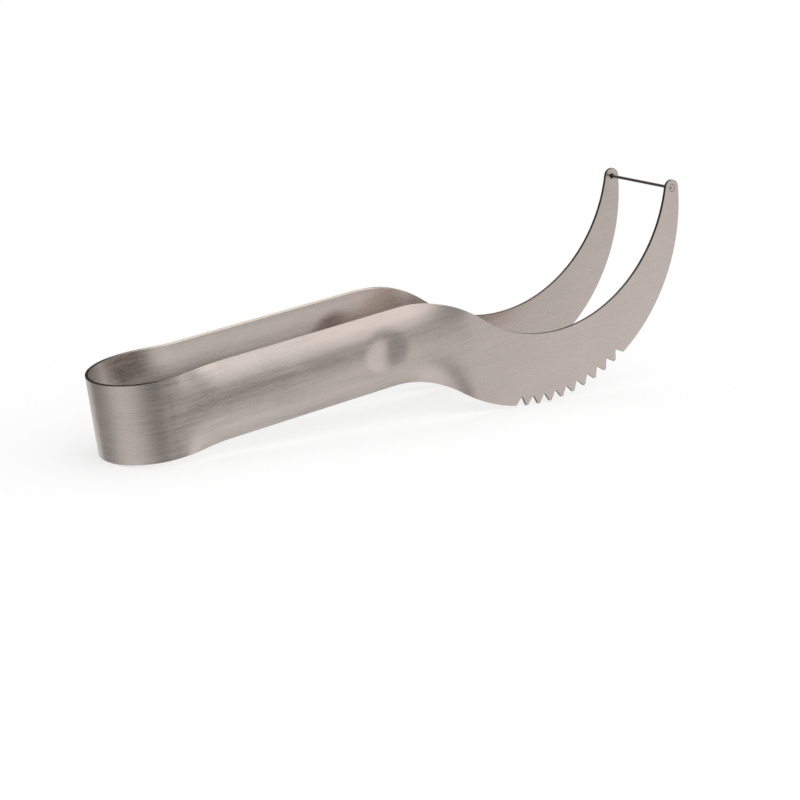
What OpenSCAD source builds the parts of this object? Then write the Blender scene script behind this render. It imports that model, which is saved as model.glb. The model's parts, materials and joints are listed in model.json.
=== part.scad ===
// Melon slicer: one springy steel strip bent into a U with two curved, toothed
// blades, tied at the tips by a thin cross rod that cuts the slice free.
// Lengths are in millimetres. +X runs from the bow to the tips, +Z is up, and the
// origin is on the surface it stands on, under the middle of its overall length.
// The strip is divided at its four bending lines, so that each arm can be squeezed.

/* [Strip] */
// Width of the strip, measured across the handle
strip_w = 25; // [18:0.5:34]
// Thickness of the strip
strip_t = 1; // [0.8:0.1:1.6]

/* [Bow] */
// Outside diameter of the half ring that joins the handles
bow_d = 35.5; // [28:0.5:52]
// Angle by which each arm leans in towards the other
toe_in = 0.35; // [0:0.05:1.5]

/* [Handles] */
// Distance from the bow to where the top edge starts to bend down
top_bend_s = 82; // [70:1:90]
// Radius of the top edge over the hump
top_bend_r = 44.5; // [30:0.5:60]
// Radius of the bottom edge under the hump
bottom_bend_r = 39; // [26:1:56]
// Distance from the start of the top bend to the line where handle meets blade
flex_after = 26; // [18:0.5:28]
// How far the long edges of a handle lean in, which makes its outside rounded
crown = 2.8; // [0.5:0.1:4]
// Length over which the rounding grows after the bow
crown_run_in = 16; // [8:1:36]
// Length over which the rounding fades out before the blade
crown_run_out = 22; // [12:1:30]
// Flat length of strip left beside each bending line
bend_flat = 1; // [0.5:0.25:3]
// Diameter of the pressed thumb dimple
dimple_d = 17.5; // [8:0.5:20]
// Depth of the thumb dimple
dimple_depth = 0.7; // [0.4:0.1:2]
// Distance from the dimple's middle back from the handle's blade end
dimple_back = 33.5; // [26:0.5:44]
// Height of the dimple's middle over the middle of the strip
dimple_rise = 0; // [-3:0.5:4]

/* [Blades] */
// Radius of the blade's inner edge
throat_r = 49.5; // [42:0.5:60]
// How far the lowest point of the inner edge lies below the handle's top edge
throat_drop = 22.9; // [18:0.1:28]
// Distance from the bow to the lowest point of the cutting edge
belly_s = 137.6; // [130:0.1:148]
// Width of the blade at its belly, from inner edge to cutting edge
belly_w = 23.2; // [18:0.2:30]
// Angle that the inner edge sweeps from its lowest point to the tip
tip_sweep = 76; // [60:1:85]
// Radius of the rounded tip
tip_r = 2.8; // [2.2:0.1:4]

/* [Teeth] */
// Number of gullets cut into the belly of each blade
gullet_count = 10; // [4:1:14]
// Distance between gullets along the edge
gullet_pitch = 4.9; // [4.6:0.1:6]
// Depth of a gullet
gullet_depth = 2.9; // [1.5:0.1:3.2]
// Angle between the two flanks of a gullet
gullet_angle = 64; // [40:1:70]
// Radius at the root of a gullet
gullet_root_r = 0.35; // [0.2:0.05:0.5]
// Distance along the edge from the lowest point to the middle of the toothed row
teeth_lead = 7.9; // [0:0.1:16]

/* [Cross rod] */
// Diameter of the rod
rod_d = 1; // [0.8:0.1:1.4]
// Diameter of the hole that the rod passes in each tip
rod_hole_d = 1.9; // [1.7:0.1:2.2]
// Diameter of the flat head formed on each end of the rod
head_d = 2.45; // [2.3:0.05:3]
// Thickness of that head
head_t = 0.4; // [0.2:0.05:0.5]
// Clearance round the head in its seat
head_clear = 0.075; // [0.05:0.005:0.12]
// Clearance under the head, which lets the tips swivel on the rod
head_lift = 0.17; // [0.14:0.01:0.2]

/* [Joints] */
// Gap between neighbouring sections of strip at a bending line
joint_gap = 0.3; // [0.2:0.05:0.5]

/* [Hidden] */
$fn = 96;
cut = 1;
half_w = strip_w / 2;
half_gap = joint_gap / 2;
bow_r = bow_d / 2;
flex_s = top_bend_s + flex_after;

// Centres of the four arcs, as [along the strip, across the strip], and their joints
hump_c = [top_bend_s, half_w - top_bend_r];
top_reach = top_bend_r + throat_r;
throat_c = [top_bend_s + sqrt(pow(top_reach, 2) - pow(top_reach - throat_drop, 2)),
            half_w - throat_drop + throat_r];
top_joint_s = top_bend_s + (throat_c[0] - top_bend_s) * top_bend_r / top_reach;
tip_c = throat_c + (throat_r + tip_r) * [sin(tip_sweep), -cos(tip_sweep)];
belly_h = half_w - throat_drop - belly_w;
belly_drop = -half_w - belly_h;
tip_rise = tip_c[1] - belly_h;
belly_r = (pow(tip_c[0] - belly_s, 2) + pow(tip_rise, 2) - pow(tip_r, 2)) / (2 * (tip_rise - tip_r));
belly_c = [belly_s, belly_h + belly_r];
bottom_reach = bottom_bend_r + belly_r;
bottom_bend_s = belly_s - sqrt(pow(bottom_reach, 2) - pow(bottom_reach - belly_drop, 2));
bottom_joint_s = bottom_bend_s + (belly_s - bottom_bend_s) * bottom_bend_r / bottom_reach;

// The slope at which it stands, resting on the bow's back edge and both bellies
arm_start = [bow_r * sin(toe_in), -bow_r * cos(toe_in)];
belly_x = arm_start[0] + belly_s * cos(toe_in);
rest_along = belly_x + bow_r;
rest_across = belly_c[1] + half_w;
incline = atan2(rest_along, rest_across) - acos(belly_r / norm([rest_along, rest_across]));
back_x = -bow_r * cos(incline) - half_w * sin(incline);
front_x = belly_x * cos(incline) - belly_c[1] * sin(incline) + belly_r;
mid_x = (back_x + front_x) / 2;
lift = bow_r * sin(incline) + half_w * cos(incline);

// Steps of the rounded sheets and outlines
sheet_steps = 45;
across_steps = 12;
arc_step = 2;
root_steps = 4;
tip_steps = 14;

// Cross rod places: its line through both tips and its half length
rod_x = arm_start[0] + tip_c[0] * cos(toe_in) - strip_t / 2 * sin(toe_in);
rod_half = -arm_start[1] - tip_c[0] * sin(toe_in);
seat_depth = head_t + head_lift;

function smooth(x) = let (c = min(max(x, 0), 1)) c * c * (3 - 2 * c);
// Height of the top edge and of the bottom edge at a distance s along the strip
function top_edge(s) =
    s < top_bend_s ? half_w :
    s < top_joint_s ? hump_c[1] + sqrt(pow(top_bend_r, 2) - pow(s - hump_c[0], 2)) :
    throat_c[1] - sqrt(pow(throat_r, 2) - pow(s - throat_c[0], 2));
function bottom_edge(s) =
    s < bottom_bend_s ? -half_w :
    s < bottom_joint_s ? -half_w - bottom_bend_r + sqrt(pow(bottom_bend_r, 2) - pow(s - bottom_bend_s, 2)) :
    belly_c[1] - sqrt(pow(belly_r, 2) - pow(s - belly_s, 2));
// How far the outer surface lies inward of the arm's outer plane: crown, then dimple
function crown_in(s, u) =
    crown * u * u
    * smooth((s - half_gap - bend_flat) / crown_run_in)
    * smooth((flex_s - half_gap - bend_flat - s) / crown_run_out);
function dimple_in(s, h) =
    let (d = norm([s - flex_s + dimple_back, h - dimple_rise]) * 2 / dimple_d)
    d < 1 ? dimple_depth * (1 + cos(180 * d)) / 2 : 0;
function sheet_in(s, u) =
    let (low = bottom_edge(s), high = top_edge(s), h = (low + high + u * (high - low)) / 2)
    [s, crown_in(s, u) + dimple_in(s, h), h];

// Points on a circle, by angles from straight down, turning towards the tip
function round_at(c, r, a) = c + r * [sin(a), -cos(a)];
function arc_points(c, r, a0, a1, n) = [for (i = [0:n]) round_at(c, r, a0 + (a1 - a0) * i / n)];
function arc_count(r, a0, a1) = max(2, ceil(abs(a1 - a0) * PI / 180 * r / arc_step));

// One gullet across the edge: mouth, rounded root, mouth, in angles about the belly's centre
gullet_half = gullet_angle / 2;
gullet_point = gullet_depth - gullet_root_r + gullet_root_r / sin(gullet_half);
gullet_mouth = gullet_point * tan(gullet_half);
pitch_deg = gullet_pitch / belly_r * 180 / PI;
mouth_deg = asin(gullet_mouth / belly_r);
row_deg = teeth_lead / belly_r * 180 / PI;
function gullet_deg(i) = row_deg + (i - (gullet_count - 1) / 2) * pitch_deg;
function gullet_points(a) =
    let (root_c = round_at(belly_c, belly_r - gullet_depth + gullet_root_r, a), side = 90 - gullet_half)
    [round_at(belly_c, belly_r, a - mouth_deg),
     for (k = [0:root_steps]) root_c - gullet_root_r * [sin(a + side * (1 - 2 * k / root_steps)),
                                                         -cos(a + side * (1 - 2 * k / root_steps))],
     round_at(belly_c, belly_r, a + mouth_deg)];

// Angles about each centre where the arcs meet
belly_start_deg = -asin((belly_s - bottom_bend_s) / bottom_reach);
throat_start_deg = -asin((throat_c[0] - top_bend_s) / top_reach);
belly_end_deg = atan2(tip_c[0] - belly_s, belly_c[1] - tip_c[1]);
first_deg = gullet_deg(0) - mouth_deg;
last_deg = gullet_deg(gullet_count - 1) + mouth_deg;

arm_outline = concat(
    [[0, half_w], [0, -half_w]],
    [for (p = arc_points([bottom_bend_s, -half_w - bottom_bend_r], bottom_bend_r, 180,
                         180 + belly_start_deg, arc_count(bottom_bend_r, 0, belly_start_deg))) p],
    [for (i = [1:arc_count(belly_r, belly_start_deg, first_deg) - 1])
        round_at(belly_c, belly_r,
                 belly_start_deg + (first_deg - belly_start_deg) * i / arc_count(belly_r, belly_start_deg, first_deg))],
    [for (i = [0:gullet_count - 1]) for (p = gullet_points(gullet_deg(i))) p],
    [for (i = [1:arc_count(belly_r, last_deg, belly_end_deg)])
        round_at(belly_c, belly_r,
                 last_deg + (belly_end_deg - last_deg) * i / arc_count(belly_r, last_deg, belly_end_deg))],
    [for (i = [1:tip_steps]) round_at(tip_c, tip_r, belly_end_deg + (180 + tip_sweep - belly_end_deg) * i / tip_steps)],
    [for (i = [1:arc_count(throat_r, tip_sweep, throat_start_deg)])
        round_at(throat_c, throat_r,
                 tip_sweep + (throat_start_deg - tip_sweep) * i / arc_count(throat_r, tip_sweep, throat_start_deg))],
    [for (i = [1:arc_count(top_bend_r, 0, throat_start_deg)])
        round_at(hump_c, top_bend_r, 180 + throat_start_deg * (1 - i / arc_count(top_bend_r, 0, throat_start_deg)))]
);

// Stands the strip at its slope, with the origin under the middle of its length
module stand() {
    translate([-mid_x, 0, lift]) rotate([0, -incline, 0]) children();
}

// Puts an arm, drawn with its outer face in the XZ plane, at the bow's right or left end
module right_arm() {
    stand() translate([arm_start[0], arm_start[1], 0]) rotate([0, 0, toe_in]) children();
}
module left_arm() {
    mirror([0, 1, 0]) right_arm() children();
}

// A rounded sheet: rings round the strip's section, one for each step along it
module handle_sheet() {
    first = half_gap;
    last = flex_s - half_gap;
    ring = 2 * (across_steps + 1);
    points = [for (i = [0:sheet_steps]) let (s = first + (last - first) * i / sheet_steps)
        each concat(
            [for (j = [0:across_steps]) sheet_in(s, 2 * j / across_steps - 1)],
            [for (j = [across_steps:-1:0]) sheet_in(s, 2 * j / across_steps - 1) + [0, strip_t, 0]])];
    sides = [for (i = [0:sheet_steps - 1]) for (k = [0:ring - 1])
        let (a = i * ring + k, b = i * ring + (k + 1) % ring)
        each [[a, b, b + ring], [a, b + ring, a + ring]]];
    ends = [for (j = [0:across_steps - 1])
        let (a = j, b = j + 1, c = ring - 2 - j, d = ring - 1 - j, e = sheet_steps * ring)
        each [[a, d, c], [a, c, b], [a + e, b + e, c + e], [a + e, c + e, d + e]]];
    polyhedron(points, concat(sides, ends));
}

// The flat blade from the bending line to the tip, with the stepped hole for the rod
module blade_plate() {
    first = flex_s + half_gap;
    difference() {
        intersection() {
            translate([0, strip_t, 0]) rotate([90, 0, 0]) linear_extrude(strip_t) polygon(arm_outline);
            translate([first, -cut, belly_h - cut]) cube([tip_c[0] + belly_r - first, strip_t + 2 * cut, belly_r * 2]);
        }
        translate([tip_c[0], -cut, tip_c[1]]) rotate([-90, 0, 0]) cylinder(d = rod_hole_d, h = strip_t + 2 * cut);
        translate([tip_c[0], -cut, tip_c[1]]) rotate([-90, 0, 0])
            cylinder(d = head_d + 2 * head_clear, h = seat_depth + cut);
    }
}

module bow() {
    gap_deg = half_gap / (bow_r - strip_t / 2) * 180 / PI;
    color([0.70, 0.66, 0.64]) stand()
        rotate([0, 0, 90 - toe_in + gap_deg]) rotate_extrude(angle = 180 + 2 * toe_in - 2 * gap_deg)
            translate([bow_r - strip_t, -half_w]) square([strip_t, strip_w]);
}

module right_handle() {
    color([0.66, 0.62, 0.60]) right_arm() handle_sheet();
}

module left_handle() {
    color([0.66, 0.62, 0.60]) left_arm() handle_sheet();
}

module right_blade() {
    color([0.74, 0.69, 0.66]) right_arm() blade_plate();
}

module left_blade() {
    color([0.74, 0.69, 0.66]) left_arm() blade_plate();
}

module cross_rod() {
    color([0.34, 0.31, 0.29]) stand() translate([rod_x, -rod_half, tip_c[1]]) rotate([-90, 0, 0]) {
        cylinder(d = rod_d, h = 2 * rod_half);
        cylinder(d = head_d, h = head_t);
        translate([0, 0, 2 * rod_half - head_t]) cylinder(d = head_d, h = head_t);
    }
}

bow();
right_handle();
left_handle();
right_blade();
left_blade();
cross_rod();
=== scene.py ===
import json
import math
from collections import namedtuple

import bmesh
import bpy
import numpy as np
from bpy.props import FloatProperty, FloatVectorProperty, IntProperty, PointerProperty
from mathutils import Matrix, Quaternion, Vector


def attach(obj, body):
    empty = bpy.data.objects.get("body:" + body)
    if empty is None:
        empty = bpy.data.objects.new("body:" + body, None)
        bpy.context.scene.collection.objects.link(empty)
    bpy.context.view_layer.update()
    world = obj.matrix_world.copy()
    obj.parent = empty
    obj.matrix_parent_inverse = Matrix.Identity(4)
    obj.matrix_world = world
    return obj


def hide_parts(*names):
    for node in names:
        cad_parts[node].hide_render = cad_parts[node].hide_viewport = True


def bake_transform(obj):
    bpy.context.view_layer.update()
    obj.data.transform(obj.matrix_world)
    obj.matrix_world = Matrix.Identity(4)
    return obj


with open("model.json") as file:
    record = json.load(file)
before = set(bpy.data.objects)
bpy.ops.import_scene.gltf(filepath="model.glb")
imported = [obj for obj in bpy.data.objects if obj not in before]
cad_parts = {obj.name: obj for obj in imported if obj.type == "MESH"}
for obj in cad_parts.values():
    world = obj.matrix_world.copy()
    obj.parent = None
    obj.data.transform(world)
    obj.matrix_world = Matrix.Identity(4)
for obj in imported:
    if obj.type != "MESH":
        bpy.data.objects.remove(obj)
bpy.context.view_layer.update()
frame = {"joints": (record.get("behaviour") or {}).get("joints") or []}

bl_info = {
    "name": "Melon slicer",
    "version": (1, 0, 0),
    "blender": (4, 5, 0),
    "location": "3D View > Sidebar > Melon slicer",
    "description": "Brushed steel melon slicer: two sprung arms bent from one strip, and a cross rod",
    "category": "Add Mesh",
}

MM = 0.001
SIDES = {"right": 1, "left": -1}
SEAM = 48 * MM           # distance from the bow at which a grip's skin ends and a blade's skin begins
BEND_REACH = 6 * MM      # how far the sheet bends on each side of a bending line
NECK = 4 * MM            # length of arm below the tip's middle that is drawn round the rod's hole

# Spacing and number of the points.
BOW_STEP = 0.4 * MM      # along the bow
HANDLE_STEP = 0.75 * MM  # along a handle
ARC_STEP = 0.9 * MM      # along a blade's edges
FACE_ROWS = 25           # rows across a face, between the two that lie beside its edges
SUPPORT = 2.5            # distance of the second row from an edge, in edge radii
ROUND_ROWS = 3           # rows over each rounded edge
ROOT_POINTS = 7          # round a gullet's root
FLANK_POINTS = 3         # on each flank of a gullet
TIP_POINTS = 31          # round the tip
HEAD_RINGS = 14          # across a head's face
ROD_POINTS = 64          # round the rod
TINY = 1e-7              # points closer than this are one point

CORNER_EASE = 0.05       # how far a gullet's corners are eased, in gullet depths
CORNER_POINTS = (-0.4, 0, 0.4, 1.0, 2.2)  # places beside a gullet's corner, in lengths of its easing
TIP_RINGS = (0, 0.1, 0.5, 0.9)  # rings from the tip's outline in to the hole, as shares of the way
SHARP_ANGLE = math.radians(40)  # faces that meet at more than this keep a crease
FACE, CUT = 0, 1         # finishes of a sheet: its broad faces and its cut edges
WIRE, HEAD = 0, 1        # finishes of the rod: its wire and its formed heads

# Looks of the steel. Distances along the strip are taken from the bow's end.
BRIGHT_FROM = (-8 * MM, 7 * MM)   # the cut edges have painted shade before the first and a painted highlight after the second
BRIGHT_TO = (124 * MM, 106 * MM)  # they have painted shade after the first and a painted highlight before the second
NOISE_RANGE = (0.3, 0.7)          # most of a noise lies between these
SUM_RANGE = (1.2, 1.8)            # most of the sum of three noises lies between these
CLOUD_SCALE = 70                  # clouds in the brushed steel, per metre
MARK_SCALE = 2600                 # small marks on the cut edges and the heads, per metre
BUMP_HEIGHT = 0.02 * MM           # height of the bumps
GRAIN_BUMP = 0.35                 # strength of the bumps for a grain of 1
GRAIN_TONE = 0.07                 # share of the colour by which a grain of 1 shifts it
GRAIN_ROUGH = 0.03                # how far a grain of 1 shifts the roughness
MARK_BUMP = 0.3                   # strength of the bumps that the marks and the wire's lines make
MARK_ROUGH = (0.26, 0.38)         # roughness of the cut edges and the heads
WIRE_ROUGH = (0.28, 0.4)          # roughness of the wire
PIT_SHADE_SHARE = 0.08                    # brightness of the painted shade in a pit, as a share of the steel's
PIT_SHADE_FADE_FROM = 0.65                 # the painted shade starts to fade at this share of the pit's radius
COLOUR_A, COLOUR_B, COLOUR_OUT = 6, 7, 2  # a mix node's sockets for colours

# Streaks of brushed or drawn steel: their sizes along and across the strip, detail, and place in the noise.
Streaks = namedtuple("Streaks", "along across detail shift")
HAIRLINES = Streaks(6 * MM, 0.09 * MM, 2, (3.1, 8.37))
LINES = Streaks(4.5 * MM, 0.32 * MM, 3, (7.7, 20.79))
BROAD = Streaks(26 * MM, 1.6 * MM, 2, (5.3, 14.31))
WIRE_LINES = Streaks(5 * MM, 0.08 * MM, 3, (1.9, 5.13))

SENSOR = 36              # camera sensor width in millimetres
FLOOR_REACH = 3.0        # half the floor's width
FLOOR_GAP = 0.02 * MM    # the floor lies this far under the object
FLOOR_GREY = 0.45        # what the floor gives back of the light that falls on it
FLOOR_GLOW = 0.64        # what it gives of its own, so that it is white where nothing shades it

# A soft light of the studio, in degrees: azimuth from the front towards the tips, elevation over the
# horizon, and the angles from its middle at which it is still full and at which it has faded out.
# The dark card's strength is the share of the light that it takes away.
SoftLight = namedtuple("SoftLight", "azimuth elevation full gone strength")
OVERHEAD = SoftLight(41, 66, 56, 71, 0.85)
TABLE = SoftLight(0, -90, 60, 75, 0.44)
LEFT_BOX = SoftLight(-71, -52, 0, 49, 0.52)
REAR_BOX = SoftLight(128, -21, 0, 51, 0.65)
BACK_BOX = SoftLight(178, -14, 8, 31, 0.55)
RIGHT_BOX = SoftLight(45, -6, 0, 49, 0.98)
FRONT_BOX = SoftLight(44, -15.5, 0, 17, 0.88)
LOW_BOX = SoftLight(22, -43, 4, 25, 0.38)
DARK_CARD = SoftLight(37, -12, 0, 38, -0.75)

# One arm: the sizes of its strip and its blade, the arcs of its outline, and its side from SIDES.
Arm = namedtuple("Arm", "strip blade curves side")


def joint(name):
    """The frame's joint of that name."""
    return next(j for j in frame["joints"] if j["name"] == name)


def strip_places():
    """Where the strip lies, read from the frame's joints.

    The bending lines run across the strip, so their direction tilts the whole slicer. The two bending
    lines of the right arm give the arm's length to the blade and how far it leans in.
    """
    names = ("right_squeeze", "right_flex", "rod_swivel")
    squeeze, flex, rod = (np.array(joint(name)["pos_m"]) for name in names)
    tilt = np.array(joint("right_squeeze")["axis"])
    up = tilt * np.sign(tilt[2])
    along = np.cross((0, 1, 0), up)
    lean = flex - squeeze
    toe = math.atan2(lean[1], lean @ along)
    middle_r = abs(squeeze[1]) / math.cos(toe)
    return {
        "up": up,
        "along": along,
        "toe": toe,
        "middle_r": middle_r,
        "start": np.array((squeeze[0], 0, squeeze[2])) - along * middle_r * math.sin(toe),
        "flex": float(np.hypot(lean @ along, lean[1])),
        "rod": rod,
    }


PLACES = strip_places()


def length_property(name, description, default):
    """A size in metres."""
    return FloatProperty(name=name, description=description, default=default, unit="LENGTH")


def angle_property(name, description, degrees):
    """An angle, given in degrees."""
    return FloatProperty(name=name, description=description, default=math.radians(degrees), subtype="ANGLE")


def colour_property(name, description, default):
    """A colour of red, green and blue."""
    return FloatVectorProperty(name=name, description=description, default=default, subtype="COLOR", size=3)


class StripSizes(bpy.types.PropertyGroup):
    """Sizes of the bent strip between the bow and the blades."""
    width: length_property("Width", "Width of the strip", 25 * MM)
    thickness: length_property("Thickness", "Thickness of the strip", 1 * MM)
    edge: length_property("Edge", "Radius of the broken edges", 0.09 * MM)
    crown: length_property("Crown", "How far the long edges lean in", 2.8 * MM)
    crown_in: length_property("Crown start", "Length over which the rounding grows", 16 * MM)
    crown_out: length_property("Crown end", "Length over which the rounding fades out", 22 * MM)
    bend_flat: length_property("Flat", "Flat length left beside a bending line", 1.15 * MM)
    dimple: length_property("Dimple", "Diameter of the thumb dimple", 17.5 * MM)
    dimple_depth: length_property("Dimple depth", "Depth of the thumb dimple", 0.7 * MM)
    dimple_back: length_property("Dimple back", "Dimple's middle back from the blade", 33.5 * MM)
    dimple_rise: length_property("Dimple rise", "Dimple's middle over the strip's middle", 0.0)


class BladeSizes(bpy.types.PropertyGroup):
    """Sizes of the two blades."""
    hump_r: length_property("Hump", "Radius of the top edge over the hump", 44.5 * MM)
    hump_before: length_property("Hump start", "Start of the hump before the bending line", 26 * MM)
    under_r: length_property("Underside", "Radius of the bottom edge under the hump", 39 * MM)
    throat_r: length_property("Throat", "Radius of the inner edge", 49.5 * MM)
    throat_drop: length_property("Throat drop", "Inner edge's lowest point below the top edge", 22.9 * MM)
    belly_along: length_property("Belly", "Lowest point of the cutting edge from the bow", 137.6 * MM)
    belly_w: length_property("Belly width", "Width of the blade at its belly", 23.2 * MM)
    tip_sweep: angle_property("Tip sweep", "Angle of the inner edge to the tip", 76)
    tip_r: length_property("Tip", "Radius of the rounded tip", 2.8 * MM)
    gullets: IntProperty(name="Gullets", description="Number of gullets in each blade", default=10, min=1)
    pitch: length_property("Pitch", "Distance between gullets", 4.9 * MM)
    depth: length_property("Depth", "Depth of a gullet", 2.9 * MM)
    angle: angle_property("Angle", "Angle between a gullet's flanks", 64)
    root_r: length_property("Root", "Radius at a gullet's root", 0.35 * MM)
    lead: length_property("Lead", "Middle of the toothed row past the lowest point", 7.9 * MM)


class RodSizes(bpy.types.PropertyGroup):
    """Sizes of the cross rod and of its seats in the tips."""
    rod_d: length_property("Rod", "Diameter of the rod", 1 * MM)
    hole_d: length_property("Hole", "Diameter of the hole in a tip", 1.9 * MM)
    head_d: length_property("Head", "Diameter of the formed head", 2.45 * MM)
    head_t: length_property("Head thickness", "Thickness of the formed head", 0.4 * MM)
    seat_d: length_property("Seat", "Diameter of the head's seat", 2.6 * MM)
    seat_t: length_property("Seat depth", "Depth of the head's seat", 0.57 * MM)
    pit_d: length_property("Pit", "Diameter of the punch pit in a head", 0.8 * MM)
    pit_t: length_property("Pit depth", "Depth of the punch pit", 0.22 * MM)
    pit_off: length_property("Pit offset", "Pit's middle beside the head's middle", 0.55 * MM)


class SteelLooks(bpy.types.PropertyGroup):
    """Colours and finish of the steel surfaces."""
    strip: colour_property("Strip", "Colour of the handles and the bow", (0.525, 0.468, 0.432))
    blade: colour_property("Blade", "Colour of the blades", (0.535, 0.468, 0.432))
    # The cut faces are one steel: the bright colour along the handles is a painted highlight, and the dark
    # colours round the bow and along the blades are painted shade.
    cut: colour_property("Cut faces", "Colour of the sheared edges along the handles", (0.74, 0.66, 0.57))
    bow_cut_painted_shade: colour_property("Bow's cut faces", "Colour of the sheared edges round the bow",
                             (0.04, 0.034, 0.031))
    blade_cut_painted_shade: colour_property("Blade's cut faces", "Colour of the sheared edges of the blades",
                               (0.17, 0.145, 0.13))
    rod: colour_property("Rod", "Colour of the drawn wire", (0.22, 0.195, 0.18))
    roughness: FloatProperty(name="Roughness", description="Roughness of the brushed faces", default=0.27,
                             subtype="FACTOR")
    strip_grain: FloatProperty(name="Strip grain", description="Depth of the strip's grain", default=1.3)
    blade_grain: FloatProperty(name="Blade grain", description="Depth of the blades' grain", default=0.8)


class StageLooks(bpy.types.PropertyGroup):
    """Where the camera stands and how the stage is lit."""
    azimuth: angle_property("Azimuth", "Camera's turn round the object", -33.06)
    elevation: angle_property("Elevation", "Camera's height over the horizon", 15.04)
    roll: angle_property("Roll", "Camera's own tilt", 0.29)
    distance: length_property("Distance", "Camera to its aim point", 0.65)
    view_angle: angle_property("View angle", "Width of the view", 23.4)
    aim: FloatVectorProperty(name="Aim", description="Point that the camera looks at", subtype="TRANSLATION",
                             size=3, default=(0.01221, 0.0134, -0.00069))
    ambient: FloatProperty(name="Ambient", description="Strength of the light from all round", default=0.15)


class SlicerSizes(bpy.types.PropertyGroup):
    """All sizes and looks of the slicer and its stage."""
    strip: PointerProperty(type=StripSizes)
    blade: PointerProperty(type=BladeSizes)
    rod: PointerProperty(type=RodSizes)
    steel: PointerProperty(type=SteelLooks)
    stage: PointerProperty(type=StageLooks)


def smooth(x):
    """Runs from 0 to 1 as x does, level at both ends: 3 x squared less 2 x cubed."""
    c = np.clip(x, 0, 1)
    return c * c * (3 - 2 * c)


def round_at(centre, radius, angle):
    """Points on a circle, by angles from straight down, turning towards the tip."""
    angle = np.asarray(angle, float)
    return np.stack([centre[0] + radius * np.sin(angle), centre[1] - radius * np.cos(angle)], -1)


def arm_curves(strip, blade):
    """The arcs of an arm's outline, in distances along and across the strip.

    The hump touches the handle's top edge and the throat. The underside touches the handle's bottom
    edge and the belly. The belly also touches the round tip, which fixes its radius.
    """
    half = strip.width / 2
    hump_s = PLACES["flex"] - blade.hump_before
    reach = blade.hump_r + blade.throat_r
    throat = (hump_s + math.sqrt(reach ** 2 - (reach - blade.throat_drop) ** 2),
              half - blade.throat_drop + blade.throat_r)
    tip = round_at(throat, blade.throat_r + blade.tip_r, blade.tip_sweep)
    belly_h = half - blade.throat_drop - blade.belly_w
    rise = tip[1] - belly_h
    belly_r = ((tip[0] - blade.belly_along) ** 2 + rise ** 2 - blade.tip_r ** 2) / (2 * (rise - blade.tip_r))
    belly = (blade.belly_along, belly_h + belly_r)
    under_reach = blade.under_r + belly_r
    drop = -half - belly_h
    under_s = blade.belly_along - math.sqrt(under_reach ** 2 - (under_reach - drop) ** 2)
    return {
        "hump": (hump_s, half - blade.hump_r),
        "hump_end": hump_s + (throat[0] - hump_s) * blade.hump_r / reach,
        "throat": throat,
        "throat_start": -math.asin((throat[0] - hump_s) / reach),
        "tip": tip,
        "belly": belly,
        "belly_r": belly_r,
        "belly_s": under_s + (blade.belly_along - under_s) * blade.under_r / under_reach,
        "belly_end": math.atan2(tip[0] - belly[0], belly[1] - tip[1]),
        "under": (under_s, -half - blade.under_r),
    }


def arm_of(sizes, side):
    """The arm on that side."""
    return Arm(sizes.strip, sizes.blade, arm_curves(sizes.strip, sizes.blade), side)


def edge_heights(arm, s):
    """Heights of the bottom and top edge where the arm is still a handle, at distances s along it.

    Each edge is straight until its arc starts, then follows the arc's circle. Past the arc's end the
    bottom edge follows the belly.
    """
    hump, under, belly, belly_r = (arm.curves[name] for name in ("hump", "under", "belly", "belly_r"))
    hump_r, under_r = arm.blade.hump_r, arm.blade.under_r
    over = np.clip(s - hump[0], 0, hump_r)
    below = np.clip(s - under[0], 0, under_r)
    beside = np.clip(s - belly[0], -belly_r, belly_r)
    top = hump[1] + np.sqrt(hump_r ** 2 - over ** 2)
    arc = under[1] + np.sqrt(under_r ** 2 - below ** 2)
    bottom = np.where(s < arm.curves["belly_s"], arc, belly[1] - np.sqrt(belly_r ** 2 - beside ** 2))
    return bottom, top


def depth_at(arm, s, h):
    """How far the outer face lies in from the arm's outer plane, at distance s along and height h.

    The crown grows with the square of the distance from the middle line and fades out at both ends of
    the handle. The dimple is a half wave of the distance from its middle.
    """
    strip = arm.strip
    bottom, top = edge_heights(arm, s)
    u = (2 * h - bottom - top) / (top - bottom)
    fade = smooth((s - strip.bend_flat) / strip.crown_in)
    fade = fade * smooth((PLACES["flex"] - strip.bend_flat - s) / strip.crown_out)
    far = np.hypot(s - PLACES["flex"] + strip.dimple_back, h - strip.dimple_rise) * 2 / strip.dimple
    dimple = strip.dimple_depth * (1 + np.cos(np.pi * np.minimum(far, 1))) / 2
    return strip.crown * u * u * fade + dimple


def strip_frame(s):
    """Directions along the strip and into it at distance s, in the strip's own flat plan.

    Past the bow the arm is straight. On the bow, where s is below zero, both turn with the half ring.
    """
    turn = PLACES["toe"] + np.minimum(s, 0) / PLACES["middle_r"]
    along = np.stack([np.cos(turn), np.sin(turn)], -1)
    inward = np.stack([-np.sin(turn), np.cos(turn)], -1)
    return along, inward


def turn_to_row(plan_x, plan_y, h, side):
    """A direction of the strip's plan and height in the row frame."""
    lift = plan_x[..., None] * PLACES["along"] + h[..., None] * PLACES["up"]
    return lift + np.multiply.outer(plan_y * side, (0.0, 1.0, 0.0))


def to_row(strip, s, depth, h, side):
    """Points of the strip in the row frame: s along it, depth in from its outer plane, h across it.

    The plan point is the bow's circle point plus the straight run. The plan is then tilted, and the
    left arm is the right one with y turned over.
    """
    along, inward = strip_frame(s)
    outer_r = PLACES["middle_r"] + strip.thickness / 2
    plan = -inward * outer_r + inward * depth[..., None] + along * np.maximum(s, 0)[..., None]
    return turn_to_row(plan[..., 0], plan[..., 1], h, side) + PLACES["start"]


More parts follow.
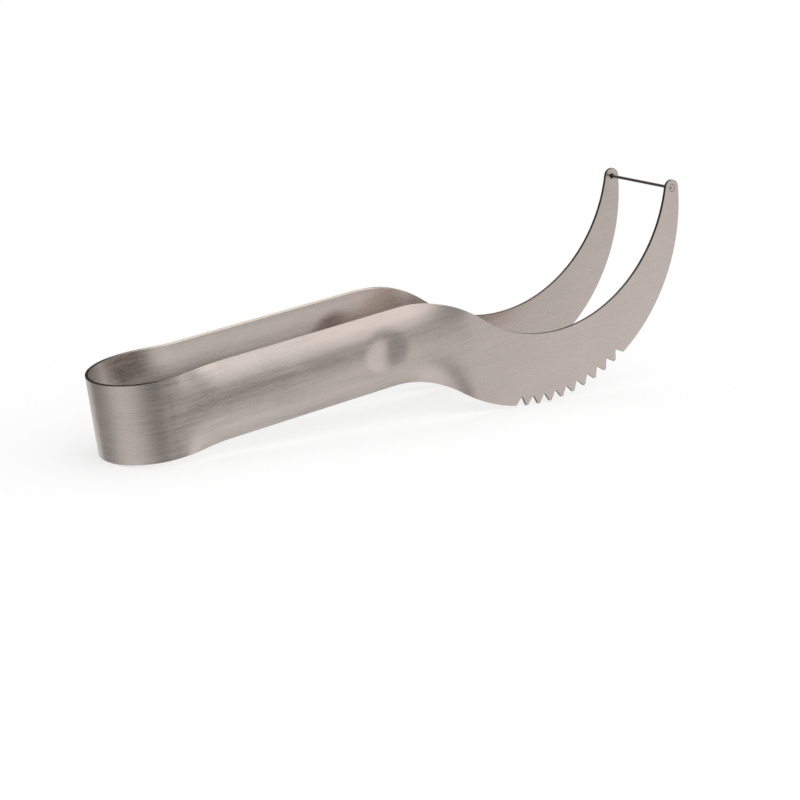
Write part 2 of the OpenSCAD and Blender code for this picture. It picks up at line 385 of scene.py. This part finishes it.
def face_frame(arm, s, h):
    """Depth of the outer face, its slopes, and its inward normal as parts along, inward and across."""
    step = 0.01 * MM
    depth = depth_at(arm, s, h)
    slope_s = (depth_at(arm, s + step, h) - depth_at(arm, s - step, h)) / (2 * step)
    slope_h = (depth_at(arm, s, h + step) - depth_at(arm, s, h - step)) / (2 * step)
    length = np.sqrt(1 + slope_s ** 2 + slope_h ** 2)
    return depth, slope_s, slope_h, np.stack([-slope_s, np.ones_like(s), -slope_h], -1) / length[..., None]


def push(arm, flat, inward=0.0, outward=0.0, edge=None):
    """Points of the sheet in the row frame.

    flat holds (s, h) points of the outer face. Each moves inward along the face's normal, and outward
    in the face along edge, the outline's own normal.
    """
    s, h = flat[..., 0], flat[..., 1]
    depth, slope_s, slope_h, normal = face_frame(arm, s, h)
    points = to_row(arm.strip, s, depth, h, arm.side)
    shift = normal * np.broadcast_to(inward, s.shape)[..., None]
    if edge is not None:
        tangent = np.stack([edge[..., 0], slope_s * edge[..., 0] + slope_h * edge[..., 1], edge[..., 1]], -1)
        tangent = tangent / np.linalg.norm(tangent, axis=-1, keepdims=True)
        shift = shift + tangent * np.broadcast_to(outward, s.shape)[..., None]
    along, into = strip_frame(s)
    plan = along * shift[..., :1] + into * shift[..., 1:2]
    return points + turn_to_row(plan[..., 0], plan[..., 1], shift[..., 2], arm.side)


def outline_normals(points, side):
    """Unit normals of an open outline, each square to the line through its neighbours."""
    run = np.gradient(points, axis=0)
    run = run / np.linalg.norm(run, axis=1, keepdims=True)
    return np.stack([-run[:, 1], run[:, 0]], -1) * side


def wall_rows(arm, outline, normals):
    """Rows of points over the cut edge of the sheet, from its outer face to its inner face.

    Two quarter rounds with the edge's radius join the faces to the square wall between them.
    """
    edge = arm.strip.edge
    turn = np.linspace(0, np.pi / 2, ROUND_ROWS + 1)[1:]
    round_in = edge * (1 - np.cos(turn))
    round_out = edge * (np.sin(turn) - 1)
    inward = np.concatenate([round_in, arm.strip.thickness - round_in[::-1]])
    outward = np.concatenate([round_out, round_out[::-1]])
    return np.stack([push(arm, outline, i, o, normals) for i, o in zip(inward, outward)])


def wall_map(arm, outline, wall):
    """The flat map of a wall: the outline's own place, shifted by the depth into the sheet."""
    inward = np.linspace(0, arm.strip.thickness, len(wall) + 2)
    return outline[None] + inward[:, None, None] * np.array((0.0, 1.0))


def grid_quads(rows, columns, closed):
    """Corner numbers of the quads of a grid of points. A closed grid joins its last column to its first."""
    row = np.arange(rows - 1)[:, None] * columns
    column = np.arange(columns if closed else columns - 1)[None, :]
    here, beside = row + column, row + (column + 1) % columns
    return np.stack([here, beside, beside + columns, here + columns], -1).reshape(-1, 4)


class Shape:
    """Collects grids of points into one mesh, with a flat map and a finish for each."""

    def __init__(self):
        self.points, self.maps, self.faces, self.finishes, self.count = [], [], [], [], 0

    def grid(self, points, flat, finish=FACE, closed=False, turned=False):
        """Adds a grid of points. flat holds each point's place on the unbent strip."""
        rows, columns = points.shape[:2]
        quads = grid_quads(rows, columns, closed)
        quads = quads[:, ::-1] if turned else quads
        flat = np.broadcast_to(flat, (rows, columns, 2)).reshape(-1, 2)
        self.add(points.reshape(-1, 3), flat, quads.tolist(), finish)

    def add(self, points, flat, faces, finish):
        """Adds points and the faces between them, numbered from the first of these points."""
        self.faces += [[corner + self.count for corner in face] for face in faces]
        self.finishes += [finish] * len(faces)
        self.points.append(points)
        self.maps.append(flat)
        self.count += len(points)

    def cap(self, ring, flat):
        """Closes an end of the sheet with one face over its ring."""
        self.add(ring, np.broadcast_to(flat, (len(ring), 2)), [list(range(len(ring)))], CUT)

    def make(self, name, materials, turned=False):
        """Makes the object: the points that coincide are merged, and creases are kept sharp."""
        mesh = bpy.data.meshes.new(name)
        faces = [face[::-1] for face in self.faces] if turned else self.faces
        mesh.from_pydata(np.concatenate(self.points).tolist(), [], faces)
        corners = np.empty(len(mesh.loops), np.int32)
        mesh.loops.foreach_get("vertex_index", corners)
        flat = np.concatenate(self.maps)[corners].astype(np.float32)
        mesh.uv_layers.new(name="strip").data.foreach_set("uv", flat.ravel())
        mesh.polygons.foreach_set("material_index", np.array(self.finishes, np.int32))
        merged = bmesh.new()
        merged.from_mesh(mesh)
        bmesh.ops.remove_doubles(merged, verts=merged.verts, dist=TINY)
        merged.to_mesh(mesh)
        merged.free()
        mesh.shade_smooth()
        mesh.set_sharp_from_angle(angle=SHARP_ANGLE)
        for material in materials:
            mesh.materials.append(material)
        piece = bpy.data.objects.new(name, mesh)
        bpy.context.scene.collection.objects.link(piece)
        return piece


def across(bottom, top, bottom_out, top_out, edge):
    """Rows of outer face points from the bottom edge to the top edge.

    The first and last two rows lie close to the edges, and the rest are spread evenly between them.
    """
    low, high = bottom - bottom_out * SUPPORT * edge, top - top_out * SUPPORT * edge
    share = np.linspace(0, 1, FACE_ROWS)[:, None, None]
    return np.concatenate([(bottom - bottom_out * edge)[None], low + (high - low) * share,
                           (top - top_out * edge)[None]])


def sheet_between(shape, arm, bottom, top):
    """Adds the sheet between two edge curves: outer face, top wall, inner face and bottom wall.

    Returns its rows of flat points, the normals of both edges, and the points round it at each place
    along the strip.
    """
    bottom_out, top_out = outline_normals(bottom, -1), outline_normals(top, 1)
    face = across(bottom, top, bottom_out, top_out, arm.strip.edge)
    outer = push(arm, face)
    inner = push(arm, face, inward=arm.strip.thickness)
    top_wall = wall_rows(arm, top, top_out)
    bottom_wall = wall_rows(arm, bottom, bottom_out)
    shape.grid(outer, face)
    shape.grid(np.concatenate([outer[-1:], top_wall, inner[-1:]]), wall_map(arm, top, top_wall), CUT)
    shape.grid(inner[::-1], face[::-1])
    shape.grid(np.concatenate([inner[:1], bottom_wall[::-1], outer[:1]]),
               wall_map(arm, bottom, bottom_wall)[::-1], CUT)
    ring = np.concatenate([outer, top_wall, inner[::-1], bottom_wall[::-1]])
    return face, bottom_out, top_out, ring


def grip_edges(strip):
    """Bottom and top edge of a grip's skin, from the middle of the bow to the seam on the handle.

    Both run straight on the unbent strip. A hair's breadth at the start keeps the shading even there.
    """
    first = -PLACES["middle_r"] * (math.pi / 2 + PLACES["toe"])
    bow = np.linspace(first, 0, round(-first / BOW_STEP) + 1)
    handle = np.linspace(0, SEAM, round(SEAM / HANDLE_STEP) + 1)
    s = np.concatenate([bow[:1], bow[:1] + strip.edge / 2, bow[1:], handle[1:]])
    half = np.full_like(s, strip.width / 2)
    return np.stack([s, -half], -1), np.stack([s, half], -1)


def gullet_profile(blade):
    """Sideways places and depths across one gullet, from the land before it to the land after it.

    The root is a circle. The flanks are straight lines, eased into the land by a hyperbola.
    """
    half = blade.angle / 2
    root_x = blade.root_r * math.cos(half)
    point = blade.depth - blade.root_r + blade.root_r / math.sin(half)
    mouth = point * math.tan(half)
    ease = CORNER_EASE * blade.depth
    flank = np.linspace(root_x, mouth - ease, FLANK_POINTS + 1)[1:]
    corner = mouth + ease * np.array(CORNER_POINTS)
    root = np.linspace(-root_x, root_x, ROOT_POINTS)
    side = np.concatenate([flank, corner])
    x = np.concatenate([-side[::-1], root, side])
    rest = (mouth - np.abs(x)) / math.tan(half)
    depth = (rest + np.sqrt(rest ** 2 + ease ** 2)) / 2
    in_root = np.abs(x) <= root_x
    circle = blade.depth - blade.root_r + np.sqrt(np.maximum(blade.root_r ** 2 - x ** 2, 0))
    return x, np.where(in_root, circle, depth)


def spaced(first, last, radius):
    """Angles from first to last, about one arc step apart on that radius."""
    return np.linspace(first, last, max(2, round(abs(last - first) * radius / ARC_STEP) + 1))


def toothed_edge(blade, curves, first, last):
    """Points of the belly from one angle to another, and each point's angle about the belly's centre.

    Each gullet's profile is laid across the belly's circle at its own angle.
    """
    radius, centre = curves["belly_r"], np.array(curves["belly"])
    x, depth = gullet_profile(blade)
    order = np.arange(blade.gullets) - (blade.gullets - 1) / 2
    middles = (blade.lead + order * blade.pitch) / radius
    up = np.sqrt(radius ** 2 - x ** 2) - depth
    lateral = np.stack([np.cos(middles), np.sin(middles)], -1)
    radial = np.stack([np.sin(middles), -np.cos(middles)], -1)
    teeth = centre + x[None, :, None] * lateral[:, None] + up[None, :, None] * radial[:, None]
    angles = middles[:, None] + np.arcsin(x / radius)[None, :]
    before = spaced(first, angles[0, 0], radius)[:-1]
    after = spaced(angles[-1, -1], last, radius)[1:]
    points = np.concatenate([round_at(centre, radius, before), teeth.reshape(-1, 2),
                             round_at(centre, radius, after)])
    return points, np.concatenate([before, angles.ravel(), after])


def blade_edges(arm):
    """Bottom and top edge of a blade's skin, from the seam on the handle to the neck below the tip.

    While both edges run side by side they share their distances along the strip. After that each
    point of the top edge lies at the same share of its length as the bottom point that it faces.
    """
    blade, curves = arm.blade, arm.curves
    split = min(PLACES["flex"] + BEND_REACH, curves["hump_end"])
    s = np.linspace(SEAM, split, round((split - SEAM) / HANDLE_STEP) + 1)
    low, high = edge_heights(arm, s)
    first = math.asin((split - curves["belly"][0]) / curves["belly_r"])
    last = curves["belly_end"] - NECK / curves["belly_r"]
    bottom, angles = toothed_edge(blade, curves, first, last)
    share = (angles - first) / (last - first)
    hump_first = math.asin((split - curves["hump"][0]) / blade.hump_r)
    hump_run = blade.hump_r * (-curves["throat_start"] - hump_first)
    throat_run = blade.throat_r * (blade.tip_sweep - curves["throat_start"]) - NECK
    run = share * (hump_run + throat_run)
    on_hump = round_at(curves["hump"], blade.hump_r, math.pi - hump_first - run / blade.hump_r)
    on_throat = round_at(curves["throat"], blade.throat_r,
                         curves["throat_start"] + (run - hump_run) / blade.throat_r)
    top = np.where((run < hump_run)[:, None], on_hump, on_throat)
    return (np.concatenate([np.stack([s, low], -1), bottom[1:]]),
            np.concatenate([np.stack([s, high], -1), top[1:]]))


def tip_outline(blade, curves):
    """The outline from the neck up the inner edge, round the tip and down the belly to the neck."""
    throat = spaced(blade.tip_sweep - NECK / blade.throat_r, blade.tip_sweep, blade.throat_r)
    turn = np.linspace(math.pi + blade.tip_sweep, curves["belly_end"], TIP_POINTS)
    belly = spaced(curves["belly_end"], curves["belly_end"] - NECK / curves["belly_r"], curves["belly_r"])
    return np.concatenate([round_at(curves["throat"], blade.throat_r, throat),
                           round_at(curves["tip"], blade.tip_r, turn)[1:],
                           round_at(curves["belly"], curves["belly_r"], belly)[1:]])


def hole_steps(strip, rod):
    """Radius and depth at each turn of the stepped hole, from the outer face to the inner face."""
    seat, hole, edge = rod.seat_d / 2, rod.hole_d / 2, strip.edge / 2
    return ((seat + edge, 0), (seat, edge), (seat, rod.seat_t), (hole + edge, rod.seat_t),
            (hole, rod.seat_t + edge), (hole, strip.thickness - edge), (hole + edge, strip.thickness))


def tip_sheet(shape, arm, rod, neck, neck_out):
    """Adds the tip round the rod's stepped hole.

    Rings run from the outline in to the seat, down its steps, and back out on the inner face.
    """
    thickness = arm.strip.thickness
    outline = tip_outline(arm.blade, arm.curves)
    out = outline_normals(outline, 1)
    out[0], out[-1] = neck_out
    rim = outline - out * arm.strip.edge
    loop = np.concatenate([neck, rim[1:-1]])
    centre = np.array(arm.curves["tip"])
    away = (loop - centre) / np.linalg.norm(loop - centre, axis=1, keepdims=True)
    steps = hole_steps(arm.strip, rod)
    shares = np.array(TIP_RINGS)[:, None, None]
    outer_in = loop + (centre + away * steps[0][0] - loop) * shares
    inner_in = loop + (centre + away * steps[-1][0] - loop) * shares
    radii, depths = (np.array(column) for column in zip(*steps))
    flat = np.concatenate([outer_in, centre + away * radii[:, None, None], inner_in[::-1]])
    inward = np.concatenate([np.zeros(len(shares)), depths, np.full(len(shares), thickness)])
    points = push(arm, flat, inward=inward[:, None])
    seat, bore = len(shares), len(shares) + len(steps) - 1
    for first, last, finish in ((0, seat, FACE), (seat, bore, CUT), (bore, len(points) - 1, FACE)):
        shape.grid(points[first:last + 1], flat[first:last + 1], finish, closed=True, turned=True)
    wall = wall_rows(arm, outline, out)
    outer, inner = push(arm, rim), push(arm, rim, inward=thickness)
    shape.grid(np.concatenate([outer[None], wall, inner[None]]), wall_map(arm, outline, wall), CUT)


def grip_piece(name, side, sizes, materials):
    """One grip: half of the bow and the handle as far as the seam."""
    shape = Shape()
    face, _, _, ring = sheet_between(shape, arm_of(sizes, side), *grip_edges(sizes.strip))
    shape.cap(ring[:, 0], face[0, 0])
    shape.cap(ring[::-1, -1], face[0, -1])
    return shape.make(name, materials, turned=side < 0)


def blade_piece(name, side, sizes, materials):
    """One blade with the rest of its handle, its toothed belly and its drilled tip."""
    arm = arm_of(sizes, side)
    shape = Shape()
    face, bottom_out, top_out, ring = sheet_between(shape, arm, *blade_edges(arm))
    shape.cap(ring[:, 0], face[0, 0])
    tip_sheet(shape, arm, sizes.rod, face[:, -1], (top_out[-1], bottom_out[-1]))
    return shape.make(name, materials, turned=side < 0)


def rod_piece(name, sizes, materials):
    """The cross rod: a wire with a flat head at each end, as rings carried along its middle line.

    Each head's face has a punch pit beside its middle, a half wave of the distance from the pit.
    """
    rod = sizes.rod
    half = abs(PLACES["rod"][1]) + sizes.strip.thickness / 2
    head, wire, edge = rod.head_d / 2, rod.rod_d / 2, sizes.strip.edge / 2
    face_r = np.linspace(0, head - edge, HEAD_RINGS)
    radii = np.concatenate([face_r, (head, head, wire + edge, wire)])
    places = np.concatenate([np.full(len(face_r), -half),
                             (edge - half, rod.head_t - half, rod.head_t - half, rod.head_t + edge - half)])
    radii, places = np.concatenate([radii, radii[::-1]]), np.concatenate([places, -places[::-1]])
    turn = np.linspace(0, 2 * math.pi, ROD_POINTS, endpoint=False)
    x, z = radii[:, None] * np.cos(turn), radii[:, None] * np.sin(turn)
    far = np.hypot(x + rod.pit_off, z) * 2 / rod.pit_d
    pit = rod.pit_t * (1 + np.cos(np.pi * np.minimum(far, 1))) / 2
    on_face = (np.abs(places) == half)[:, None]
    y = places[:, None] - np.sign(places)[:, None] * np.where(on_face, pit, 0)
    points = np.stack([x, y, z], -1) + np.array((PLACES["rod"][0], 0, PLACES["rod"][2]))
    flat = np.stack([y, radii[:, None] * turn[None, :]], -1)
    wire_start, end = len(face_r) + 1, len(radii) - 1
    shape = Shape()
    for first, last, finish in ((0, wire_start, HEAD), (wire_start, end - wire_start, WIRE),
                                (end - wire_start, end, HEAD)):
        shape.grid(points[first:last + 1], flat[first:last + 1], finish, closed=True)
    return shape.make(name, materials, turned=True)


def add_node(tree, kind, sockets=None, **settings):
    """Adds a node. sockets gives each input a value, or an output to link it to."""
    made = tree.nodes.new(kind)
    for name, value in settings.items():
        setattr(made, name, value)
    for name, value in (sockets or {}).items():
        if isinstance(value, bpy.types.NodeSocket):
            tree.links.new(value, made.inputs[name])
        else:
            made.inputs[name].default_value = value
    return made


def new_material(name):
    """A new material and its empty node tree."""
    material = bpy.data.materials.new(name)
    material.use_nodes = True
    material.node_tree.nodes.clear()
    return material, material.node_tree


def flat_place(tree):
    """Where a point lies on the unbent strip: its distance along, and its height across."""
    return add_node(tree, "ShaderNodeUVMap", uv_map="strip").outputs["UV"]


def object_place(tree):
    """Where a point lies on its object."""
    return add_node(tree, "ShaderNodeTexCoord").outputs["Object"]


def streaks(tree, flat, kind):
    """Noise drawn out along the strip."""
    stretched = add_node(tree, "ShaderNodeMapping", {
        "Vector": flat, "Scale": (1 / kind.along, 1 / kind.across, 1), "Location": (*kind.shift, 0)})
    return add_node(tree, "ShaderNodeTexNoise", {
        "Vector": stretched.outputs["Vector"], "Scale": 1, "Detail": kind.detail, "Roughness": 0.6},
        noise_dimensions="2D").outputs["Fac"]


def spots(tree, scale, detail):
    """Noise that is alike in all directions."""
    return add_node(tree, "ShaderNodeTexNoise", {
        "Vector": object_place(tree), "Scale": scale, "Detail": detail}).outputs["Fac"]


def spread(tree, value, low, high, source=NOISE_RANGE):
    """Maps a noise value to the range from low to high."""
    return add_node(tree, "ShaderNodeMapRange", {
        "Value": value, "From Min": source[0], "From Max": source[1], "To Min": low, "To Max": high}
    ).outputs["Result"]


def smooth_step(tree, value, first, last):
    """Runs from 0 to 1 as the value goes from first to last."""
    return add_node(tree, "ShaderNodeMapRange", {"Value": value, "From Min": first, "From Max": last},
                    interpolation_type="SMOOTHSTEP").outputs["Result"]


def reckon(tree, operation, value, *others):
    """Adds up or multiplies values, one after the other."""
    for other in others:
        value = add_node(tree, "ShaderNodeMath", {0: value, 1: other}, operation=operation).outputs["Value"]
    return value


def mix(tree, factor, first, second):
    """Mixes two colours, each a fixed colour or an output."""
    ends = [end if isinstance(end, bpy.types.NodeSocket) else (*end, 1) for end in (first, second)]
    return add_node(tree, "ShaderNodeMix", {"Factor": factor, COLOUR_A: ends[0], COLOUR_B: ends[1]},
                    data_type="RGBA").outputs[COLOUR_OUT]


def mottled(tree, factor, colour, deep, pale):
    """The colour from deep times to pale times as bright, as the factor goes from 0 to 1."""
    return mix(tree, factor, *([min(1, c * share) for c in colour] for share in (deep, pale)))


def bare_metal(tree, colour, roughness, height, bump, more=None):
    """Gives the material a metal shader with bumps. more holds further inputs."""
    bumps = add_node(tree, "ShaderNodeBump", {"Strength": bump, "Distance": BUMP_HEIGHT, "Height": height})
    metal = add_node(tree, "ShaderNodeBsdfPrincipled", {
        "Base Color": colour, "Metallic": 1.0, "Roughness": roughness, "Normal": bumps.outputs["Normal"],
        **(more or {})})
    add_node(tree, "ShaderNodeOutputMaterial", {"Surface": metal.outputs["BSDF"]})


def brushed_steel(name, colour, roughness, grain):
    """Stainless steel brushed along the strip.

    Hairlines and lines make the bumps. Lines, broad streaks and clouds shift the colour and the roughness.
    """
    material, tree = new_material(name)
    flat = flat_place(tree)
    hair, lines, broad = (streaks(tree, flat, kind) for kind in (HAIRLINES, LINES, BROAD))
    mixed = reckon(tree, "ADD", lines, broad, spots(tree, CLOUD_SCALE, detail=2))
    shade = spread(tree, mixed, 0.0, 1.0, SUM_RANGE)
    tone = mottled(tree, shade, colour, 1 - GRAIN_TONE * grain, 1 + GRAIN_TONE * grain)
    rough = spread(tree, mixed, roughness - GRAIN_ROUGH * grain, roughness + GRAIN_ROUGH * grain, SUM_RANGE)
    turn = add_node(tree, "ShaderNodeTangent", direction_type="UV_MAP", uv_map="strip")
    bare_metal(tree, tone, rough, reckon(tree, "ADD", hair, lines), GRAIN_BUMP * grain, {
        "Anisotropic": 0.3, "Anisotropic Rotation": 0.25, "Tangent": turn.outputs["Tangent"]})
    return material


def cut_steel(name, bright, dark):
    """The sheared edges: a painted highlight along the handles, and painted shade round the bow and along
    the blades.
    """
    material, tree = new_material(name)
    marks = spots(tree, MARK_SCALE, detail=3)
    s = add_node(tree, "ShaderNodeSeparateXYZ", {"Vector": flat_place(tree)}).outputs["X"]
    # Share of the painted highlight: 1 along the handles, 0 where the edges get painted shade.
    painted_highlight_share = reckon(tree, "MULTIPLY", smooth_step(tree, s, *BRIGHT_FROM), smooth_step(tree, s, *BRIGHT_TO))
    shade = spread(tree, marks, 0.0, 1.0)
    tone = mix(tree, painted_highlight_share, mottled(tree, shade, dark, deep=0.8, pale=1.3),
               mottled(tree, shade, bright, deep=0.9, pale=1.1))
    bare_metal(tree, tone, spread(tree, marks, *MARK_ROUGH), marks, MARK_BUMP)
    return material


def head_steel(name, colour, middle, radius):
    """The rod's heads, with painted shade in the punch pits. middle is on the line through both pits."""
    material, tree = new_material(name)
    marks = spots(tree, MARK_SCALE, detail=3)
    beside = add_node(tree, "ShaderNodeVectorMath", {0: object_place(tree), 1: (1, 0, 1)},
                      operation="MULTIPLY")
    far = add_node(tree, "ShaderNodeVectorMath", {0: beside.outputs["Vector"], 1: (middle[0], 0, middle[2])},
                   operation="DISTANCE")
    # Painted shade in the pit: full at its middle, fading out towards its rim.
    outside_pit_shade = smooth_step(tree, far.outputs["Value"], radius * PIT_SHADE_FADE_FROM, radius)
    steel = mottled(tree, spread(tree, marks, 0.0, 1.0), colour, deep=0.93, pale=1.07)
    painted_pit_shade = [c * PIT_SHADE_SHARE for c in colour]
    bare_metal(tree, mix(tree, outside_pit_shade, painted_pit_shade, steel), spread(tree, marks, *MARK_ROUGH), marks, MARK_BUMP)
    return material


def drawn_wire(name, colour):
    """The cross rod's wire: dark drawn steel with fine lines along it."""
    material, tree = new_material(name)
    lines = streaks(tree, flat_place(tree), WIRE_LINES)
    tone = mottled(tree, spread(tree, lines, 0.0, 1.0), colour, deep=0.8, pale=1.25)
    bare_metal(tree, tone, spread(tree, lines, *WIRE_ROUGH), lines, MARK_BUMP)
    return material


def floor_material():
    """Pale floor: white to the camera, with the object's shadow still on it."""
    material, tree = new_material("pale_floor")
    diffuse = add_node(tree, "ShaderNodeBsdfDiffuse", {"Color": (FLOOR_GREY, FLOOR_GREY, FLOOR_GREY, 1)})
    glow = add_node(tree, "ShaderNodeEmission", {"Color": (1, 1, 1, 1), "Strength": FLOOR_GLOW})
    white = add_node(tree, "ShaderNodeAddShader", {0: diffuse.outputs["BSDF"], 1: glow.outputs["Emission"]})
    add_node(tree, "ShaderNodeOutputMaterial", {"Surface": white.outputs["Shader"]})
    return material


def direction_to(azimuth, elevation):
    """The unit vector towards a place round the object. Azimuth 0 is in front and turns towards the tips."""
    return Vector((math.sin(azimuth) * math.cos(elevation), -math.cos(azimuth) * math.cos(elevation),
                   math.sin(elevation)))


def shine(tree, direction, light, start=0.0):
    """Start plus the light's strength, by a smooth step of the cosine of the angle from its middle."""
    middle = direction_to(math.radians(light.azimuth), math.radians(light.elevation))
    nearness = add_node(tree, "ShaderNodeVectorMath", {0: direction, 1: middle}, operation="DOT_PRODUCT")
    return add_node(tree, "ShaderNodeMapRange", {
        "Value": nearness.outputs["Value"], "From Min": math.cos(math.radians(light.gone)),
        "From Max": math.cos(math.radians(light.full)), "To Min": start, "To Max": start + light.strength},
        interpolation_type="SMOOTHSTEP").outputs["Result"]


def studio_world(level):
    """Soft lights round the object over an even level. The camera sees the world white.

    The dark card dims what lies behind it, so it multiplies the sum of the lights before the front two.
    """
    world = bpy.data.worlds.new("studio")
    world.use_nodes = True
    tree = world.node_tree
    tree.nodes.clear()
    direction = add_node(tree, "ShaderNodeTexCoord").outputs["Generated"]
    behind, front = (OVERHEAD, TABLE, LEFT_BOX, REAR_BOX, BACK_BOX, RIGHT_BOX), (FRONT_BOX, LOW_BOX)
    total = reckon(tree, "ADD", level, *(shine(tree, direction, light) for light in behind))
    total = reckon(tree, "MULTIPLY", total, shine(tree, direction, DARK_CARD, start=1.0))
    total = reckon(tree, "ADD", total, *(shine(tree, direction, light) for light in front))
    rays = add_node(tree, "ShaderNodeLightPath").outputs
    soft = add_node(tree, "ShaderNodeBackground", {"Color": (1, 1, 1, 1), "Strength": total})
    white = add_node(tree, "ShaderNodeBackground", {"Color": (1, 1, 1, 1), "Strength": 1.0})
    seen = add_node(tree, "ShaderNodeMixShader", {
        "Fac": rays["Is Camera Ray"], 1: soft.outputs["Background"], 2: white.outputs["Background"]})
    add_node(tree, "ShaderNodeOutputWorld", {"Surface": seen.outputs["Shader"]})
    bpy.context.scene.world = world


def set_camera(stage):
    """A camera at the photo's angle: turned round the aim point, tilted down, at the distance."""
    lens = bpy.data.cameras.new("camera")
    lens.sensor_width, lens.lens = SENSOR, SENSOR / 2 / math.tan(stage.view_angle / 2)
    lens.clip_start, lens.clip_end = 0.01, 20
    camera = bpy.data.objects.new("camera", lens)
    back = direction_to(stage.azimuth, stage.elevation)
    camera.location = Vector(stage.aim) + back * stage.distance
    camera.rotation_mode = "QUATERNION"
    camera.rotation_quaternion = back.to_track_quat("Z", "Y") @ Quaternion((0, 0, 1), stage.roll)
    bpy.context.scene.collection.objects.link(camera)
    bpy.context.scene.camera = camera


class SLICER_OT_grips(bpy.types.Operator):
    """Makes both grips: the bow's halves and the handles, as far as the seam."""
    bl_idname = "slicer.grips"
    bl_label = "Grips"

    def execute(self, context):
        sizes = context.scene.slicer
        steel = sizes.steel
        # The strip's cut edges get a painted highlight along the handles and painted shade round the bow.
        materials = (brushed_steel("strip_steel", steel.strip, steel.roughness, steel.strip_grain),
                     cut_steel("strip_cuts", steel.cut, steel.bow_cut_painted_shade))
        for arm, side in SIDES.items():
            piece = grip_piece(f"{arm}_grip_sheet", side, sizes, materials)
            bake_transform(piece)
            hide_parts("bow", f"{arm}_handle")
        return {"FINISHED"}


class SLICER_OT_blades(bpy.types.Operator):
    """Makes both blades with the rest of their handles."""
    bl_idname = "slicer.blades"
    bl_label = "Blades"

    def execute(self, context):
        sizes = context.scene.slicer
        steel = sizes.steel
        # The blades' cut edges get a painted highlight near the handles and painted shade along the blades.
        materials = (brushed_steel("blade_steel", steel.blade, steel.roughness, steel.blade_grain),
                     cut_steel("blade_cuts", steel.cut, steel.blade_cut_painted_shade))
        for arm, side in SIDES.items():
            piece = blade_piece(f"{arm}_blade_sheet", side, sizes, materials)
            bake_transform(piece)
            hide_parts(f"{arm}_blade")
        return {"FINISHED"}


class SLICER_OT_cross_rod(bpy.types.Operator):
    """Makes the rod that holds the tips apart and cuts the slice free."""
    bl_idname = "slicer.cross_rod"
    bl_label = "Cross rod"

    def execute(self, context):
        sizes = context.scene.slicer
        rod = sizes.rod
        # The pits' middle line, round which the heads' painted shade lies.
        pits = PLACES["rod"] - np.array((rod.pit_off, 0, 0))
        materials = (drawn_wire("wire_steel", sizes.steel.rod),
                     head_steel("head_steel", sizes.steel.blade, pits, rod.pit_d / 2))
        piece = rod_piece("cross_rod_wire", sizes, materials)
        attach(piece, "cross_rod")
        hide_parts("cross_rod")
        return {"FINISHED"}


class SLICER_OT_stage(bpy.types.Operator):
    """Makes the pale floor, the soft light and the camera."""
    bl_idname = "slicer.stage"
    bl_label = "Stage"

    def execute(self, context):
        stage = context.scene.slicer.stage
        context.scene.view_settings.view_transform = "Standard"
        square = ((-1, -1), (1, -1), (1, 1), (-1, 1))
        corners = [(x * FLOOR_REACH, y * FLOOR_REACH, -FLOOR_GAP) for x, y in square]
        mesh = bpy.data.meshes.new("floor")
        mesh.from_pydata(corners, [], [(0, 1, 2, 3)])
        mesh.materials.append(floor_material())
        floor = bpy.data.objects.new("floor", mesh)
        context.scene.collection.objects.link(floor)
        floor.visible_diffuse = floor.visible_glossy = False
        floor.visible_transmission = floor.visible_shadow = False
        studio_world(stage.ambient)
        set_camera(stage)
        return {"FINISHED"}


class SLICER_PT_panel(bpy.types.Panel):
    """Lists the slicer's pieces, its stage and their sizes."""
    bl_idname = "SLICER_PT_panel"
    bl_label = "Melon slicer"
    bl_space_type = "VIEW_3D"
    bl_region_type = "UI"
    bl_category = "Melon slicer"

    def draw(self, context):
        for step in STEPS:
            self.layout.operator(step.bl_idname)
        for group in ("strip", "blade", "rod", "steel", "stage"):
            box = self.layout.box()
            values = getattr(context.scene.slicer, group)
            for name in values.__annotations__:
                box.prop(values, name)


STEPS = (SLICER_OT_grips, SLICER_OT_blades, SLICER_OT_cross_rod, SLICER_OT_stage)
CLASSES = (StripSizes, BladeSizes, RodSizes, SteelLooks, StageLooks, SlicerSizes, *STEPS, SLICER_PT_panel)


def register():
    """Registers the classes, and puts the sizes on the scene."""
    for made in CLASSES:
        bpy.utils.register_class(made)
    bpy.types.Scene.slicer = PointerProperty(type=SlicerSizes)


def unregister():
    """Takes the sizes off the scene, and the classes out."""
    del bpy.types.Scene.slicer
    for made in reversed(CLASSES):
        bpy.utils.unregister_class(made)


def main():
    """Makes the slicer and its stage."""
    register()
    bpy.ops.slicer.grips()
    bpy.ops.slicer.blades()
    bpy.ops.slicer.cross_rod()
    bpy.ops.slicer.stage()


if __name__ == "__main__":
    main()
